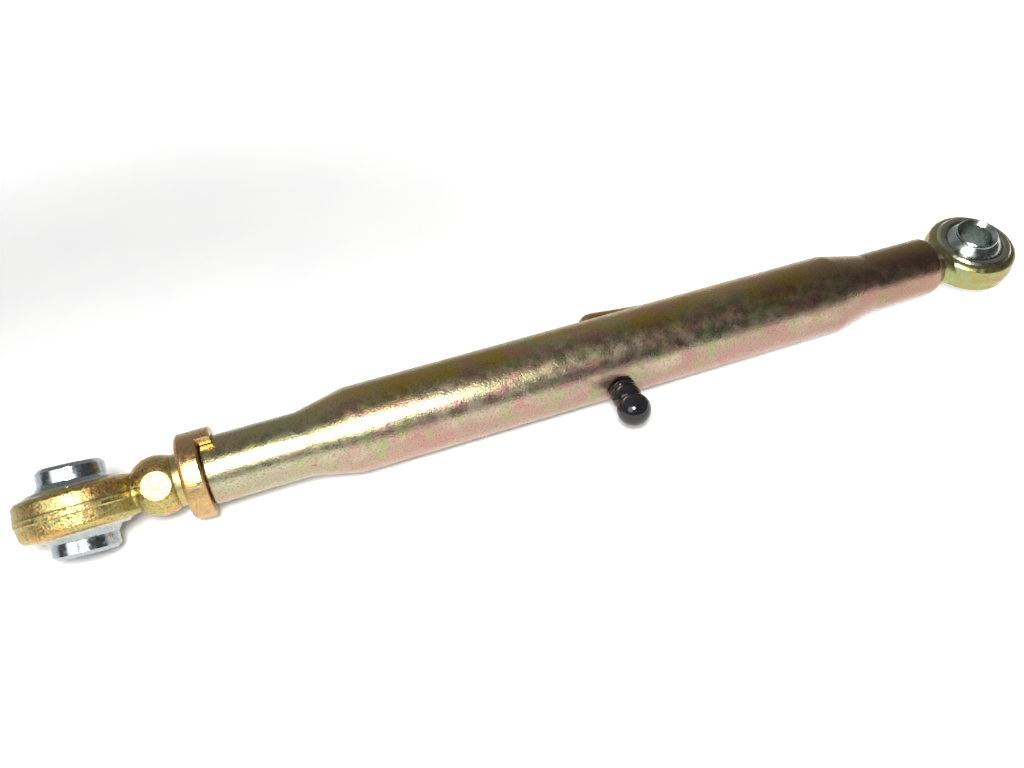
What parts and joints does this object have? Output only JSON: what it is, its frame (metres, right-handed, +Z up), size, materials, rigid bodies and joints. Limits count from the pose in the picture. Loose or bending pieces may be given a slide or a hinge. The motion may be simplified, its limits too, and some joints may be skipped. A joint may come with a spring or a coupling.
{
  "type": "tractor top link",
  "caption": "Adjustable tractor top link: threaded tube between two swivel-ball rod ends, with a lock nut and a fold-down turning handle.",
  "frame": {"origin": "centre of the left ball's bore, on the link's own axis", "axes": "+X along the link from the left ball to the right ball; +Z up, away from the floor that the closed link lies on; +Y to the side of the handle's long arm"},
  "size_m": [0.6178, 0.089, 0.0544],
  "materials": {
    "zinc_tube": "yellow-passivated zinc plate on smooth steel tube, iridescent",
    "zinc_forging": "yellow-passivated zinc plate on a grainy forging",
    "ball_steel": "bright turned steel with a bluish tint",
    "zinc_nut": "yellow-passivated zinc plate, copper tint, fine turned lines",
    "zinc_bar": "yellow-passivated zinc plate on a drawn bar",
    "black_plastic": "glossy black moulded plastic"
  },
  "bodies": {
    "tube": {"tube": "zinc_tube"},
    "left_rod": {"left_rod_end": "zinc_forging"},
    "left_ball": {"left_ball": "ball_steel"},
    "right_rod": {"right_rod_end": "zinc_forging"},
    "right_ball": {"right_ball": "ball_steel"},
    "lock_nut": {"lock_nut": "zinc_nut"},
    "handle": {"handle_bar": "zinc_bar", "handle_knob": "black_plastic"}
  },
  "joints": [
    {"name": "left_extend", "type": "slide", "parent": "tube", "child": "left_rod", "axis": [-1, 0, 0], "range_m": [0, 0.102]},
    {"name": "right_extend", "type": "slide", "parent": "tube", "child": "right_rod", "axis": [1, 0, 0], "range_m": [0, 0.102]},
    {"name": "left_swivel", "type": "hinge", "parent": "left_rod", "child": "left_ball", "pos_m": [0, 0, 0], "axis": [0, 0.723, -0.6909], "range_deg": [-13, 7]},
    {"name": "right_swivel", "type": "hinge", "parent": "right_rod", "child": "right_ball", "pos_m": [0.5584, 0, 0], "axis": [0, 0.9833, 0.1822], "range_deg": [-17, 23]},
    {"name": "lock_nut_turn", "type": "hinge", "parent": "tube", "child": "lock_nut", "pos_m": [0.0595, 0, 0], "axis": [1, 0, 0], "range_deg": [0, 180]},
    {"name": "handle_swing", "type": "hinge", "parent": "tube", "child": "handle", "pos_m": [0.2964, 0, 0], "axis": [0, -0.9854, -0.1702], "continuous": true}
  ],
  "couplings": [
    {"joint": "right_extend", "follows": "left_extend", "ratio": 1}
  ]
}
